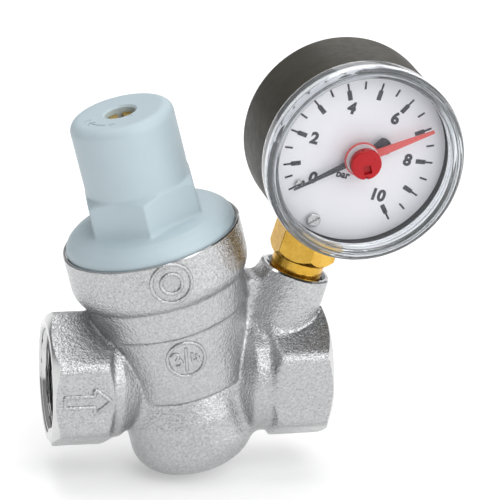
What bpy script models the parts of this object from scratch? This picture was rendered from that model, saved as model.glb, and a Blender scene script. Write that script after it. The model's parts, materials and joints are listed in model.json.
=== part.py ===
"""Pressure reducing valve with a pressure gauge.

A threaded in-line body carries an inclined bonnet with a plastic spring cover. Under the cover lie
the setting spring, the diaphragm and a balanced cartridge with its strainer. A Bourdon tube gauge
stands on a boss of the outlet side.

+X is the direction of flow, +Z is up, and the origin is the middle of the pipe line. Lengths are in
millimetres here and become metres as each mesh is made. A profile is a list of (radius, height)
points turned about its frame's Z axis.
"""

from math import atan2, cos, hypot, pi, radians, sin, tan

import bmesh
import bpy
from mathutils import Vector

MM = 0.001
GAP = 0.3  # room left between pieces that touch

# Pipe line
BODY_LENGTH = 70.6
HEX_FLATS = 32.0
HEX_INNER_X = 19.5
HEX_CORNER_RADIUS = 3.7
HEX_FACE_RADIUS = 15.2
HEX_CHAMFER_SLOPE = tan(radians(30))
NECK_RADIUS = 15.2
NECK_REACH = 22.0
PORT_RADIUS = 12.06
PORT_MOUTH_RADIUS = 13.5
PORT_DEPTH = 16.3

# Bonnet: its axis leans towards the inlet
BONNET_X = 0.2
BONNET_TILT = 14.0
RIM_TOP = 39.3
RIM_RADIUS = 22.5
CUP_BORE = 19.4
COVER_RECESS_RADIUS = 21.8
COVER_RECESS_FLOOR = 38.2
LEDGE = 25.0
UPPER_CHAMBER_RADIUS = 15.5
UPPER_CHAMBER_FLOOR = 18.0
CHAMBER_RADIUS = 13.0
WEB_TOP = 1.5
WEB_BORE = 10.6
WEB_UNDERSIDE = -4.0
SUMP_RADIUS = 11.0
SUMP_FLOOR = -18.5
BULGE_SHIFT = -2.2
BULGE_TOP = -0.9
BULGE_RADIUS = 15.8
BULGE_BOTTOM = -23.3
BULGE_EDGE = 8.0

# Gauge boss: its axis leans towards the outlet
BOSS_X = 19.4
BOSS_TILT = 17.0
BOSS_RADIUS = 8.85
BOSS_TOP = 28.4
BOSS_SEAT = 25.9
BOSS_SEAT_RADIUS = 7.1
GAUGE_THREAD_RADIUS = 5.8
GAUGE_THREAD_FLOOR = 18.6
GAUGE_GASKET = 0.9
SOCKET_FLATS = 15.0
SOCKET_HEX_LOW = 31.5
SOCKET_HEX_TOP = 39.8
SOCKET_NECK_RADIUS = 3.9
STEM_BORE = 1.4
BLOCK_BACK = -3.9
BLOCK_FRONT = 3.0

# Spring cover
COVER_DOME_RADIUS = 21.5
COVER_HEX_FLATS = 26.6
COVER_HEX_TOP = 53.6
COVER_HEX_TURN = -4.0
TOWER_RADIUS = 13.05
TOWER_TOP = 72.3
TOWER_EDGE = 2.6
SCREW_HOLE_RADIUS = 3.9
CROWN_UNDERSIDE = 67.5
NUT_GUIDE_FLATS = 20.6
NUT_GUIDE_FLOOR = 41.0
SKIRT_BOTTOM = 30.6

# Moving stem and setting
STROKE = 2.2
STEM_RADIUS = 3.0
PISTON_BORE = 6.9
SPRING_RADIUS = 7.25
SPRING_WIRE = 2.5
SPRING_TURNS = 5.0
SPRING_SEAT = 31.1
FOLLOWER_BOTTOM = 56.0
FOLLOWER_HEIGHT = 5.5

# Gauge: its own frame has X to the right, Y up the stem and Z out of the dial
GAUGE_HEIGHT = 64.9
GAUGE_YAW = 4.6
CASE_RADIUS = 24.4
CASE_BORE = 22.4
CASE_BACK = -6.0
CASE_NECK_RADIUS = 23.3
CASE_SHOULDER = 15.7
CASE_FRONT = 17.3
LENS_RIM_RADIUS = 25.0
LENS_INNER = 18.6
WINDOW_FRONT = 20.1
KNOB_HOLE_RADIUS = 1.9
LENS_FRONT = 22.4
DIAL_BACK = 14.9
DIAL_THICKNESS = 0.5
DIAL_RADIUS = 22.0
TICK_RADIUS = 19.15
ZERO_ANGLE = 220.5
SET_ANGLE = 35.0
SECTOR_PIVOT = (0.0, -9.5)
SECTOR_RADIUS = 8.0
SECTOR_ARM_ANGLE = 118.0
SECTOR_ARM = 5.2
BACK_PLATE = 3.3
FRONT_PLATE = 8.4
PLATE_THICKNESS = 0.8
SECTOR_LEVEL = 5.3
LINK_LEVEL = 6.6
TUBE_RADIUS = 16.3
TUBE_END = (-15.4, -7.2)
PILLAR_X = 4.2
PILLAR_Y = -13.5
DIAL_SCREW = (-6.1, -18.4)
DIAL_RIVET = (-12.8, -10.2)
CASE_SCREW_Y = -18.0
SIDES = {"left": -PILLAR_X, "right": PILLAR_X}

FINISHES = {
    "plated": ((0.62, 0.63, 0.64), 0.28, 1.0),
    "cover_plastic": ((0.51, 0.60, 0.64), 0.45, 0.0),
    "brass": ((0.80, 0.55, 0.20), 0.30, 1.0),
    "steel": ((0.55, 0.55, 0.56), 0.30, 1.0),
    "rubber": ((0.03, 0.03, 0.03), 0.70, 0.0),
    "cage_plastic": ((0.75, 0.72, 0.62), 0.50, 0.0),
    "case_black": ((0.02, 0.02, 0.02), 0.35, 0.0),
    "clear": ((0.80, 0.85, 0.86), 0.05, 0.0),
    "dial_white": ((0.80, 0.79, 0.84), 0.45, 0.0),
    "hand_black": ((0.01, 0.01, 0.01), 0.45, 0.0),
    "hand_red": ((0.70, 0.02, 0.03), 0.40, 0.0),
    "fibre": ((0.30, 0.10, 0.06), 0.80, 0.0),
}


def clear_scene():
    for obj in list(bpy.data.objects):
        bpy.data.objects.remove(obj, do_unlink=True)


def finish(name):
    """The Principled material of this name, made the first time it is asked for."""
    found = bpy.data.materials.get(name)
    if found:
        return found
    colour, roughness, metallic = FINISHES[name]
    made = bpy.data.materials.new(name)
    made.use_nodes = True
    shader = made.node_tree.nodes["Principled BSDF"]
    shader.inputs["Base Color"].default_value = (*colour, 1.0)
    shader.inputs["Roughness"].default_value = roughness
    shader.inputs["Metallic"].default_value = metallic
    return made


def empty(name, parent, location, rotation):
    """A frame that parts are placed in. Its location is in millimetres and its rotation in degrees."""
    made = bpy.data.objects.new(name, None)
    bpy.context.collection.objects.link(made)
    made.parent = parent
    made.location = Vector(location) * MM
    made.rotation_euler = [radians(angle) for angle in rotation]
    return made


# Outlines and profiles


def arc(centre, radius, start, end, steps):
    """Points on an arc about centre, from start to end in degrees."""
    angles = [radians(start + (end - start) * i / steps) for i in range(steps + 1)]
    return [(centre[0] + radius * cos(a), centre[1] + radius * sin(a)) for a in angles]


def circle(radius, segments, centre=(0.0, 0.0)):
    return arc(centre, radius, 0, 360, segments)[:-1]


def oval(half_x, half_y, segments):
    return [(half_x * x, half_y * y) for x, y in circle(1.0, segments)]


def rectangle(x_low, x_high, y_low, y_high):
    return [(x_low, y_low), (x_high, y_low), (x_high, y_high), (x_low, y_high)]


def hexagon(flats, corner_radius=0.0, turn=0.0):
    """Six corners, the first at turn degrees from X, rounded where a radius is given."""
    reach = (flats / 2 - corner_radius) / cos(pi / 6)
    points = []
    for i in range(6):
        angle = turn + 60 * i
        corner = (reach * cos(radians(angle)), reach * sin(radians(angle)))
        if corner_radius:
            points += arc(corner, corner_radius, angle - 30, angle + 30, 3)
        else:
            points.append(corner)
    return points


def rounded(corners, radius, steps=4):
    """The outline around circles set on the corners, which run counter-clockwise."""
    points = []
    for i, corner in enumerate(corners):
        before = Vector(corner) - Vector(corners[i - 1])
        after = Vector(corners[(i + 1) % len(corners)]) - Vector(corner)
        start = atan2(before.y, before.x) - pi / 2
        turn = (atan2(after.y, after.x) - pi / 2 - start) % (2 * pi)
        points += arc(corner, radius, start * 180 / pi, (start + turn) * 180 / pi, steps)
    return points


def moved(points, shift, turn=0.0):
    """The points turned by an angle in degrees about the origin, then shifted."""
    c, s = cos(radians(turn)), sin(radians(turn))
    return [(c * x - s * y + shift[0], s * x + c * y + shift[1]) for x, y in points]


def polar(radius, angle, centre=(0.0, 0.0)):
    return (centre[0] + radius * cos(radians(angle)), centre[1] + radius * sin(radians(angle)))


# Meshes


def finished(name, bm, parent, material):
    """Makes the object of a mesh that is still in millimetres."""
    bmesh.ops.scale(bm, vec=(MM, MM, MM), verts=bm.verts)
    bmesh.ops.recalc_face_normals(bm, faces=bm.faces)
    mesh = bpy.data.meshes.new(name)
    bm.to_mesh(mesh)
    bm.free()
    mesh.shade_smooth()
    mesh.set_sharp_from_angle(angle=radians(35))
    mesh.materials.append(finish(material))
    made = bpy.data.objects.new(name, mesh)
    bpy.context.collection.objects.link(made)
    made.parent = parent
    return made


def add_turned(bm, profile, segments):
    """Adds the closed solid that a closed profile sweeps about the Z axis."""
    rings = []
    for radius, height in profile:
        count = segments if radius > 1e-6 else 1
        rings.append([
            bm.verts.new((*polar(radius, 360 * i / segments), height)) for i in range(count)
        ])
    for lower, upper in zip(rings, rings[1:] + rings[:1]):
        if len(lower) == 1 and len(upper) == 1:
            continue
        for i in range(segments):
            j = (i + 1) % segments
            corners = [lower[i % len(lower)], lower[j % len(lower)],
                       upper[j % len(upper)], upper[i % len(upper)]]
            bm.faces.new(list(dict.fromkeys(corners)))


def add_prism(bm, outline, low, high):
    """Adds the closed solid between two copies of an outline."""
    bottom = [bm.verts.new((x, y, low)) for x, y in outline]
    top = [bm.verts.new((x, y, high)) for x, y in outline]
    bm.faces.new(bottom[::-1])
    bm.faces.new(top)
    for i in range(len(outline)):
        j = (i + 1) % len(outline)
        bm.faces.new((bottom[i], bottom[j], top[j], top[i]))


def add_sweep(bm, path, section):
    """Adds a bar with flat ends: section (side, height) points carried along a path of (x, y, z)
    points, where side is level and square to the path."""
    rings = []
    for i, point in enumerate(path):
        ahead = Vector(path[min(i + 1, len(path) - 1)]) - Vector(path[max(i - 1, 0)])
        side = Vector((ahead.y, -ahead.x, 0.0)).normalized()
        rings.append([
            bm.verts.new(Vector(point) + side * out + Vector((0.0, 0.0, up))) for out, up in section
        ])
    bm.faces.new(rings[0])
    bm.faces.new(rings[-1][::-1])
    for near, far in zip(rings, rings[1:]):
        for i in range(len(section)):
            j = (i + 1) % len(section)
            bm.faces.new((near[i], far[i], far[j], near[j]))


def turned(name, profile, parent, material="steel", segments=32):
    bm = bmesh.new()
    add_turned(bm, profile, segments)
    return finished(name, bm, parent, material)


def turned_at(name, profile, centre, parent, material, segments):
    """A turned solid about the point centre of its frame, which is then the object's origin."""
    made = turned(name, profile, parent, material, segments)
    made.location = Vector((*centre, 0.0)) * MM
    return made


def prism(name, outline, low, high, parent, material="steel"):
    bm = bmesh.new()
    add_prism(bm, outline, low, high)
    return finished(name, bm, parent, material)


def ring(radius, wire, height, steps=6):
    """The profile of an O-ring whose wire has this radius."""
    return arc((radius, height), wire, 0, 360, steps)[:-1]


def combine(target, tool, operation):
    """Joins, cuts or intersects the target with a tool, which is then only a hidden guide."""
    modifier = target.modifiers.new(tool.name, "BOOLEAN")
    modifier.operation = operation
    modifier.solver = "EXACT"
    modifier.object = tool
    tool.hide_render = True
    tool.display_type = "WIRE"


def join(target, *tools):
    for tool in tools:
        combine(target, tool, "UNION")


def cut(target, *tools):
    for tool in tools:
        combine(target, tool, "DIFFERENCE")


# The body


def bonnet_profile():
    """The outside of the bonnet, from its rim down to the lip over the bulge."""
    return [
        (0.0, RIM_TOP), (RIM_RADIUS - 0.3, RIM_TOP), (RIM_RADIUS, RIM_TOP - 0.3),
        (RIM_RADIUS, 30.0), (22.3, 28.6), (21.8, 27.4), (21.0, 26.4),
        (20.6, 26.0), (19.6, 18.3), (18.9, 17.6), (16.3, -0.4), (15.3, -1.3), (0.0, -1.3),
    ]


def bulge(bonnet):
    """The rounded bottom of the bonnet, set a little towards the inlet."""
    centre = (BULGE_RADIUS - BULGE_EDGE, BULGE_BOTTOM + BULGE_EDGE)
    profile = [(0.0, BULGE_TOP), (BULGE_RADIUS - 1.3, BULGE_TOP), (BULGE_RADIUS, -8.0),
               *arc(centre, BULGE_EDGE, 0, -90, 4), (0.0, BULGE_BOTTOM)]
    return turned_at("body_bulge", profile, (BULGE_SHIFT, 0.0), bonnet, "plated", 32)


def end_hexagon(name, side, flow):
    """A wrench hexagon of the pipe line with its corners turned off at both ends."""
    end = BODY_LENGTH / 2
    beyond = 19.0
    run_out = (beyond - HEX_FACE_RADIUS) * HEX_CHAMFER_SLOPE
    envelope = [
        (0.0, HEX_INNER_X), (HEX_FACE_RADIUS - 0.7, HEX_INNER_X),
        (beyond, HEX_INNER_X + run_out + 0.7 * HEX_CHAMFER_SLOPE), (beyond, end - run_out),
        (HEX_FACE_RADIUS, end), (0.0, end),
    ]
    envelope = [(radius, side * x) for radius, x in envelope]
    low, high = sorted((side * (HEX_INNER_X - 2), side * (end + 2)))
    outline = hexagon(HEX_FLATS, HEX_CORNER_RADIUS)
    body = prism(name, outline, low, high, flow, "plated")
    combine(body, turned(name + "_chamfers", envelope, flow, "plated", 30), "INTERSECT")
    return body


def port_cutter(name, side, flow):
    """The threaded socket of one end, plain at the thread's inner diameter."""
    end = BODY_LENGTH / 2
    mouth = PORT_MOUTH_RADIUS - PORT_RADIUS
    profile = [
        (0.0, end - PORT_DEPTH), (PORT_RADIUS, end - PORT_DEPTH), (PORT_RADIUS, end - mouth),
        (PORT_MOUTH_RADIUS + 1.0, end + 1.0), (0.0, end + 1.0),
    ]
    return turned(name, [(radius, side * x) for radius, x in profile], flow, "plated", 28)


def passage_cutter(name, start, end, half_height, half_width):
    """A slanting oval passage between two (x, z) points of the middle plane."""
    run = (end[0] - start[0], end[1] - start[1])
    slope = atan2(run[0], run[1]) * 180 / pi
    place = empty(name + "_frame", None, (start[0], 0.0, start[1]), (0.0, slope, 0.0))
    outline = oval(half_height, half_width, 14)
    return prism(name, outline, 0.0, hypot(*run), place, "plated")


def valve_body(flow, bonnet, boss):
    body = turned("valve_body", bonnet_profile(), bonnet, "plated", 36)
    neck = [(0.0, -NECK_REACH), (NECK_RADIUS, -NECK_REACH), (NECK_RADIUS, NECK_REACH),
            (0.0, NECK_REACH)]
    boss_profile = [(0.0, 4.0), (BOSS_RADIUS, 4.0), (BOSS_RADIUS, BOSS_TOP - 0.4),
                    (BOSS_RADIUS - 0.4, BOSS_TOP), (0.0, BOSS_TOP)]
    web_frame = empty("web_frame", None, (0.0, 0.0, 0.0), (90.0, 0.0, 0.0))
    web = [(8.0, 8.0), (24.0, 8.0), (24.0, 24.0), *arc((16.6, 30.2), 4.2, -30, -150, 4), (8.0, 28.0)]
    join(
        body,
        bulge(bonnet),
        turned("neck", neck, flow, "plated", 30),
        end_hexagon("inlet_hexagon", -1, flow),
        end_hexagon("outlet_hexagon", 1, flow),
        turned("gauge_boss", boss_profile, boss, "plated", 24),
        prism("boss_web", web, -4.0, 4.0, web_frame, "plated"),
    )
    cavity = [
        (0.0, RIM_TOP + 1.0), (COVER_RECESS_RADIUS, RIM_TOP + 1.0),
        (COVER_RECESS_RADIUS, COVER_RECESS_FLOOR), (CUP_BORE, COVER_RECESS_FLOOR),
        (CUP_BORE, LEDGE), (UPPER_CHAMBER_RADIUS, LEDGE),
        (UPPER_CHAMBER_RADIUS, UPPER_CHAMBER_FLOOR), (CHAMBER_RADIUS, UPPER_CHAMBER_FLOOR - 2.0),
        (CHAMBER_RADIUS, WEB_TOP), (WEB_BORE, WEB_TOP), (WEB_BORE, WEB_UNDERSIDE),
        (SUMP_RADIUS, WEB_UNDERSIDE), (SUMP_RADIUS, SUMP_FLOOR + 4.0),
        (SUMP_RADIUS - 4.0, SUMP_FLOOR), (0.0, SUMP_FLOOR),
    ]
    gauge_port = [
        (0.0, BOSS_TOP + 1.0), (BOSS_SEAT_RADIUS + 1.7, BOSS_TOP + 1.0),
        (BOSS_SEAT_RADIUS, BOSS_TOP - 0.7), (BOSS_SEAT_RADIUS, BOSS_SEAT),
        (GAUGE_THREAD_RADIUS, BOSS_SEAT), (GAUGE_THREAD_RADIUS, GAUGE_THREAD_FLOOR),
        (1.5, GAUGE_THREAD_FLOOR), (1.5, 9.0), (0.0, 9.0),
    ]
    cut(
        body,
        turned("cartridge_cavity", cavity, bonnet, "plated", 28),
        port_cutter("inlet_socket", -1, flow),
        port_cutter("outlet_socket", 1, flow),
        passage_cutter("inlet_passage", (-25.0, -4.3), (-9.0, 7.2), 6.5, 8.5),
        passage_cutter("outlet_passage", (6.0, -9.8), (25.5, 4.4), 6.0, 8.0),
        turned("gauge_port", gauge_port, boss, "plated", 16),
    )


# The cover and what it holds


def spring_cover(bonnet):
    """The screwed cover: a dome on the rim, a wrench hexagon and a round tower over the spring."""
    dome = [(COVER_DOME_RADIUS, RIM_TOP + 0.2), (21.1, 40.6), (19.9, 42.0), (17.8, 43.3), (15.0, 44.2)]
    edge = arc((TOWER_RADIUS - TOWER_EDGE, TOWER_TOP - TOWER_EDGE), TOWER_EDGE, 0, 90, 4)
    skirt = CUP_BORE - GAP
    outside = [
        (0.0, SKIRT_BOTTOM), (skirt, SKIRT_BOTTOM), (skirt, COVER_RECESS_FLOOR + GAP),
        (COVER_DOME_RADIUS, COVER_RECESS_FLOOR + GAP), *dome,
        (TOWER_RADIUS, 44.6), *edge, (0.0, TOWER_TOP),
    ]
    cover = turned("spring_cover", outside, bonnet, "cover_plastic", 32)

    wrench = hexagon(COVER_HEX_FLATS, 0.0, 90 + COVER_HEX_TURN)
    hexagon_body = prism("cover_hexagon", wrench, 42.0, COVER_HEX_TOP, bonnet, "cover_plastic")
    slope = 0.58
    reach = 16.0
    tops = [(0.0, 41.0), (reach, 41.0), (reach, COVER_HEX_TOP - slope * (reach - TOWER_RADIUS)),
            (TOWER_RADIUS - 0.5, COVER_HEX_TOP + slope * 0.5), (0.0, COVER_HEX_TOP + slope * 0.5)]
    combine(hexagon_body, turned("cover_hexagon_tops", tops, bonnet, "cover_plastic", 32), "INTERSECT")
    join(cover, hexagon_body)

    cup = [(0.0, SKIRT_BOTTOM - 1.0), (15.0, SKIRT_BOTTOM - 1.0), (15.0, 38.5),
           (12.5, NUT_GUIDE_FLOOR), (0.0, NUT_GUIDE_FLOOR)]
    guide = hexagon(NUT_GUIDE_FLATS, 0.0, 90 + COVER_HEX_TURN)
    hole = circle(SCREW_HOLE_RADIUS, 20)
    cut(
        cover,
        turned("diaphragm_space", cup, bonnet, "cover_plastic", 24),
        prism("nut_guide", guide, NUT_GUIDE_FLOOR - 1.0, CROWN_UNDERSIDE, bonnet, "cover_plastic"),
        prism("screw_hole", hole, CROWN_UNDERSIDE - 1.0, TOWER_TOP + 1.0, bonnet, "cover_plastic"),
    )


def adjusting_screw(bonnet):
    """A slotted screw held under the cover's crown. Its thread moves the follower nut."""
    head = 3.6
    top = TOWER_TOP - 1.5
    collar = CROWN_UNDERSIDE - GAP
    profile = [
        (0.0, top), (head - 0.4, top), (head, top - 0.4), (head, collar), (6.4, collar),
        (6.4, collar - 2.4), (3.4, collar - 2.4), (3.4, 44.5), (2.8, 43.9), (0.0, 43.9),
    ]
    screw = turned("adjusting_screw", profile, bonnet, "brass", 16)
    slot = rectangle(-0.75, 0.75, -5.0, 5.0)
    cut(screw, prism("screw_slot", slot, top - 1.6, top + 1.0, bonnet, "brass"))


def spring_follower(bonnet):
    """The hexagonal nut that the screw drives and that presses on the spring."""
    outline = hexagon(NUT_GUIDE_FLATS - 2 * GAP, 0.0, 90 + COVER_HEX_TURN)
    top = FOLLOWER_BOTTOM + FOLLOWER_HEIGHT
    nut = prism("spring_follower", outline, FOLLOWER_BOTTOM, top, bonnet, "brass")
    bore = circle(3.7, 16)
    cut(nut, prism("follower_bore", bore, FOLLOWER_BOTTOM - 1.0, top + 1.0, bonnet, "brass"))


def adjusting_spring(bonnet):
    """A helical spring whose ends lie flat on the follower and on the lower plate."""
    wire = SPRING_WIRE / 2
    low = SPRING_SEAT + GAP + wire
    high = FOLLOWER_BOTTOM - GAP - wire
    steps = int(9 * SPRING_TURNS)
    closed_part = 0.12
    path = []
    for i in range(steps + 1):
        share = min(max((i / steps - closed_part) / (1 - 2 * closed_part), 0.0), 1.0)
        x, y = polar(SPRING_RADIUS, 360 * SPRING_TURNS * i / steps)
        path.append((x, y, low + (high - low) * share))
    bm = bmesh.new()
    add_sweep(bm, path, circle(wire, 5))
    finished("adjusting_spring", bm, bonnet, "steel")


def diaphragm_stack(bonnet):
    """The clamped diaphragm with its slip ring, and the ring that seals the cover."""
    outer = CUP_BORE - 0.6
    disc = [
        (3.3, 27.3), (10.2, 27.3), (11.6, 26.4), (12.9, 27.3), (outer, 27.3), (outer, 28.8),
        (13.6, 28.8), (11.6, 27.6), (9.8, 28.8), (3.3, 28.8),
    ]
    turned("diaphragm", disc, bonnet, "rubber", 24)
    slip = [(14.6, 29.1), (outer, 29.1), (outer, SKIRT_BOTTOM - GAP), (14.6, SKIRT_BOTTOM - GAP)]
    turned("slip_ring", slip, bonnet, "steel", 24)


# The cartridge


def cartridge_cage(bonnet):
    """The plastic cage: a flange under the diaphragm, the piston's cylinder, four windows for the
    flow, and a lower ring that holds the seat."""
    profile = [
        (CUP_BORE - 0.6, LEDGE + GAP), (CUP_BORE - 0.6, 27.0), (13.2, 27.0), (13.2, 21.0),
        (3.5, 21.0), (3.5, 19.0), (PISTON_BORE, 19.0), (PISTON_BORE, 4.4), (8.3, 4.4), (8.3, -3.2),
        (10.2, -3.2), (10.2, -2.4), (9.0, -2.4), (9.0, 0.4), (10.2, 0.4), (10.2, WEB_TOP + GAP),
        (12.2, WEB_TOP + GAP), (12.2, 3.6), (9.0, 3.6), (9.0, 18.2), (15.1, 18.2 + 1.6),
        (15.1, 20.6), (13.7, 20.6), (13.7, 23.4), (15.1, 23.4), (15.1, LEDGE + GAP),
    ]
    cage = turned("cartridge_cage", profile, bonnet, "cage_plastic", 20)
    for i, outline in enumerate((rectangle(-10, 10, -4.5, 4.5), rectangle(-4.5, 4.5, -10, 10))):
        cut(cage, prism(f"flow_window_{i}", outline, 4.9, 9.4, bonnet, "cage_plastic"))
    turned("cage_seal_upper", ring(14.5, 0.6, 22.0, 5), bonnet, "rubber", 20)
    turned("cage_seal_lower", ring(9.7, 0.5, -1.0, 5), bonnet, "rubber", 20)


def strainer(bonnet):
    sleeve = [(11.2, 3.9), (11.8, 3.9), (11.8, 17.8), (11.2, 17.8)]
    turned("strainer", sleeve, bonnet, "steel", 20)


def seat_ring(bonnet):
    """The ring whose lower lip the obturator closes against."""
    profile = [(6.0, 4.0), (6.0, 0.8), (6.4, 0.4), (7.0, 0.8), (8.0, 1.4), (8.0, 4.0)]
    turned("seat_ring", profile, bonnet, "steel", 20)


def control_stem(bonnet):
    """The hollow stem and everything that is fixed on it, from the spring plate to the obturator."""
    bore = 1.1
    stem = [(bore, -9.6), (STEM_RADIUS, -9.6), (STEM_RADIUS, 36.6), (bore, 36.6)]
    turned("control_stem", stem, bonnet, "brass", 14)
    hub = STEM_RADIUS + GAP
    plate = [(hub, 29.1), (12.0, 29.1), (12.0, SPRING_SEAT), (5.4, SPRING_SEAT), (5.0, 33.0), (hub, 33.0)]
    turned("lower_spring_plate", plate, bonnet, "steel", 20)
    nut = prism("stem_nut", hexagon(8.0), 33.3, 36.0, bonnet, "brass")
    cut(nut, prism("stem_nut_bore", circle(hub, 14), 32.0, 38.0, bonnet, "brass"))
    washer = [(hub, 25.2), (8.5, 25.2), (9.5, 25.8), (9.5, 27.0), (hub, 27.0)]
    turned("diaphragm_washer", washer, bonnet, "brass", 20)
    piston = [
        (hub, 10.5), (6.5, 10.5), (6.5, 12.0), (4.35, 12.0), (4.35, 14.6), (6.5, 14.6),
        (6.5, 16.2), (hub, 16.2),
    ]
    turned("compensating_piston", piston, bonnet, "brass", 16)
    turned("piston_seal", ring(5.6, 0.95, 13.3, 5), bonnet, "rubber", 16)
    cup = [
        (hub, -6.5), (7.2, -6.5), (7.6, -6.1), (7.6, -2.6), (7.3, -2.6), (7.3, -4.2), (4.4, -4.2),
        (4.4, -2.6), (hub, -2.6),
    ]
    turned("obturator", cup, bonnet, "brass", 16)
    disc = [(4.7, -3.9), (7.0, -3.9), (7.0, 0.1 - STROKE), (4.7, 0.1 - STROKE)]
    turned("obturator_seal", disc, bonnet, "rubber", 16)
    lock = prism("obturator_nut", hexagon(8.0), -9.2, -6.8, bonnet, "brass")
    cut(lock, prism("obturator_nut_bore", circle(hub, 14), -10.0, -6.0, bonnet, "brass"))


# The gauge


def gauge_socket(boss, gauge):
    """The threaded brass stem with its wrench hexagon, and the block inside the case."""
    thread = GAUGE_THREAD_RADIUS - GAP
    relief = thread - 0.7
    shoulder = BOSS_SEAT + GAUGE_GASKET + 2 * GAP
    stem = [
        (STEM_BORE, 19.6), (thread - 0.5, 19.6), (thread, 20.2), (thread, BOSS_SEAT - 0.6),
        (relief, BOSS_SEAT - 0.3), (relief, shoulder), (6.6, shoulder), (6.6, 32.6),
        (SOCKET_NECK_RADIUS, 32.6), (SOCKET_NECK_RADIUS, 46.0), (STEM_BORE, 46.0),
    ]
    socket = turned("gauge_socket", stem, boss, "brass", 20)
    flats = hexagon(SOCKET_FLATS, 0.0, 90 + GAUGE_YAW)
    wrench = prism("socket_hexagon", flats, SOCKET_HEX_LOW, SOCKET_HEX_TOP, boss, "brass")
    low, high = SOCKET_HEX_LOW - 0.3, SOCKET_HEX_TOP + 0.2
    corners = [(0.0, low), (6.9, low), (9.2, low + 1.9), (9.2, high - 0.8), (8.2, high), (0.0, high)]
    combine(wrench, turned("socket_hexagon_corners", corners, boss, "brass", 24), "INTERSECT")
    footprint = rectangle(-6.0, 6.0, -20.9, -11.0)
    block = prism("socket_block", footprint, BLOCK_BACK, BLOCK_FRONT, gauge, "brass")
    post = prism("dial_post", circle(1.9, 10, DIAL_SCREW), 0.5, DIAL_BACK - GAP, gauge, "brass")
    join(socket, wrench, block, post)
    channel = prism("socket_channel", circle(STEM_BORE, 10), 19.0, 50.0, boss, "brass")
    post_hole = prism("dial_post_hole", circle(0.9, 8, DIAL_SCREW), 10.5, 16.0, gauge, "brass")
    cut(socket, channel, post_hole)
    for side, x in SIDES.items():
        hole = circle(0.9, 8, (x, PILLAR_Y))
        cut(socket, prism(f"movement_hole_{side}", hole, -1.5, BLOCK_FRONT + 1, gauge, "brass"))
        hole = circle(1.3, 10, (x, CASE_SCREW_Y))
        cut(socket, prism(f"block_hole_{side}", hole, BLOCK_BACK - 1, -0.5, gauge, "brass"))
    low, high = BOSS_SEAT + GAP, BOSS_SEAT + GAP + GAUGE_GASKET
    washer = [(relief + GAP, low), (6.6, low), (6.6, high), (relief + GAP, high)]
    turned("gauge_gasket", washer, boss, "fibre", 20)


def gauge_case(gauge):
    """The black cup of the gauge with a rounded rear edge and a stepped neck for the lens."""
    rear_edge = 3.5
    floor = CASE_BACK + 1.4
    profile = [
        (0.0, CASE_BACK), *arc((CASE_RADIUS - rear_edge, CASE_BACK + rear_edge), rear_edge, -90, 0, 3),
        (CASE_RADIUS, CASE_SHOULDER), (CASE_NECK_RADIUS, CASE_SHOULDER), (CASE_NECK_RADIUS, CASE_FRONT),
        (CASE_BORE, CASE_FRONT), (CASE_BORE, floor + 1.0), (CASE_BORE - 1.0, floor), (0.0, floor),
    ]
    case = turned("gauge_case", profile, gauge, "case_black", 40)
    stem_frame = empty("case_stem_frame", gauge, (0.0, -CASE_RADIUS - 1.0, 0.0), (-90.0, 0.0, 0.0))
    cut(case, prism("case_stem_hole", circle(4.3, 16), 0.0, 4.5, stem_frame, "case_black"))
    for side, x in SIDES.items():
        hole = circle(1.3, 10, (x, CASE_SCREW_Y))
        cut(case, prism(f"case_hole_{side}", hole, CASE_BACK - 1, floor + 1, gauge, "case_black"))


def case_screws(gauge):
    """The two pan head screws that hold the socket block to the back of the case."""
    head = CASE_BACK - GAP
    profile = [(0.0, head - 1.6), (1.6, head - 1.6), (2.5, head - 0.9), (2.5, head), (1.0, head),
               (1.0, -1.0), (0.0, -1.0)]
    for side, x in SIDES.items():
        turned_at(f"case_screw_{side}", profile, (x, CASE_SCREW_Y), gauge, "steel", 16)


def gauge_lens(gauge):
    """The clear cap: a flat window in a thick rim, with a skirt over the neck of the case."""
    outside = arc((LENS_RIM_RADIUS - 1.6, LENS_FRONT - 1.6), 1.6, 0, 90, 2)
    profile = [
        (KNOB_HOLE_RADIUS, LENS_INNER), (CASE_NECK_RADIUS + GAP, LENS_INNER),
        (CASE_NECK_RADIUS + GAP, CASE_SHOULDER + GAP), (LENS_RIM_RADIUS - 0.2, CASE_SHOULDER + GAP),
        *outside, (22.7, LENS_FRONT), (21.9, LENS_FRONT - 0.4), (21.6, WINDOW_FRONT),
        (KNOB_HOLE_RADIUS, WINDOW_FRONT),
    ]
    turned("gauge_lens", profile, gauge, "clear", 40)
    low, high = CASE_FRONT + GAP, LENS_INNER - GAP
    seal = [(CASE_BORE + 0.1, low), (CASE_NECK_RADIUS - 0.1, low), (CASE_NECK_RADIUS - 0.1, high),
            (CASE_BORE + 0.1, high)]
    turned("lens_gasket", seal, gauge, "rubber", 28)


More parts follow.
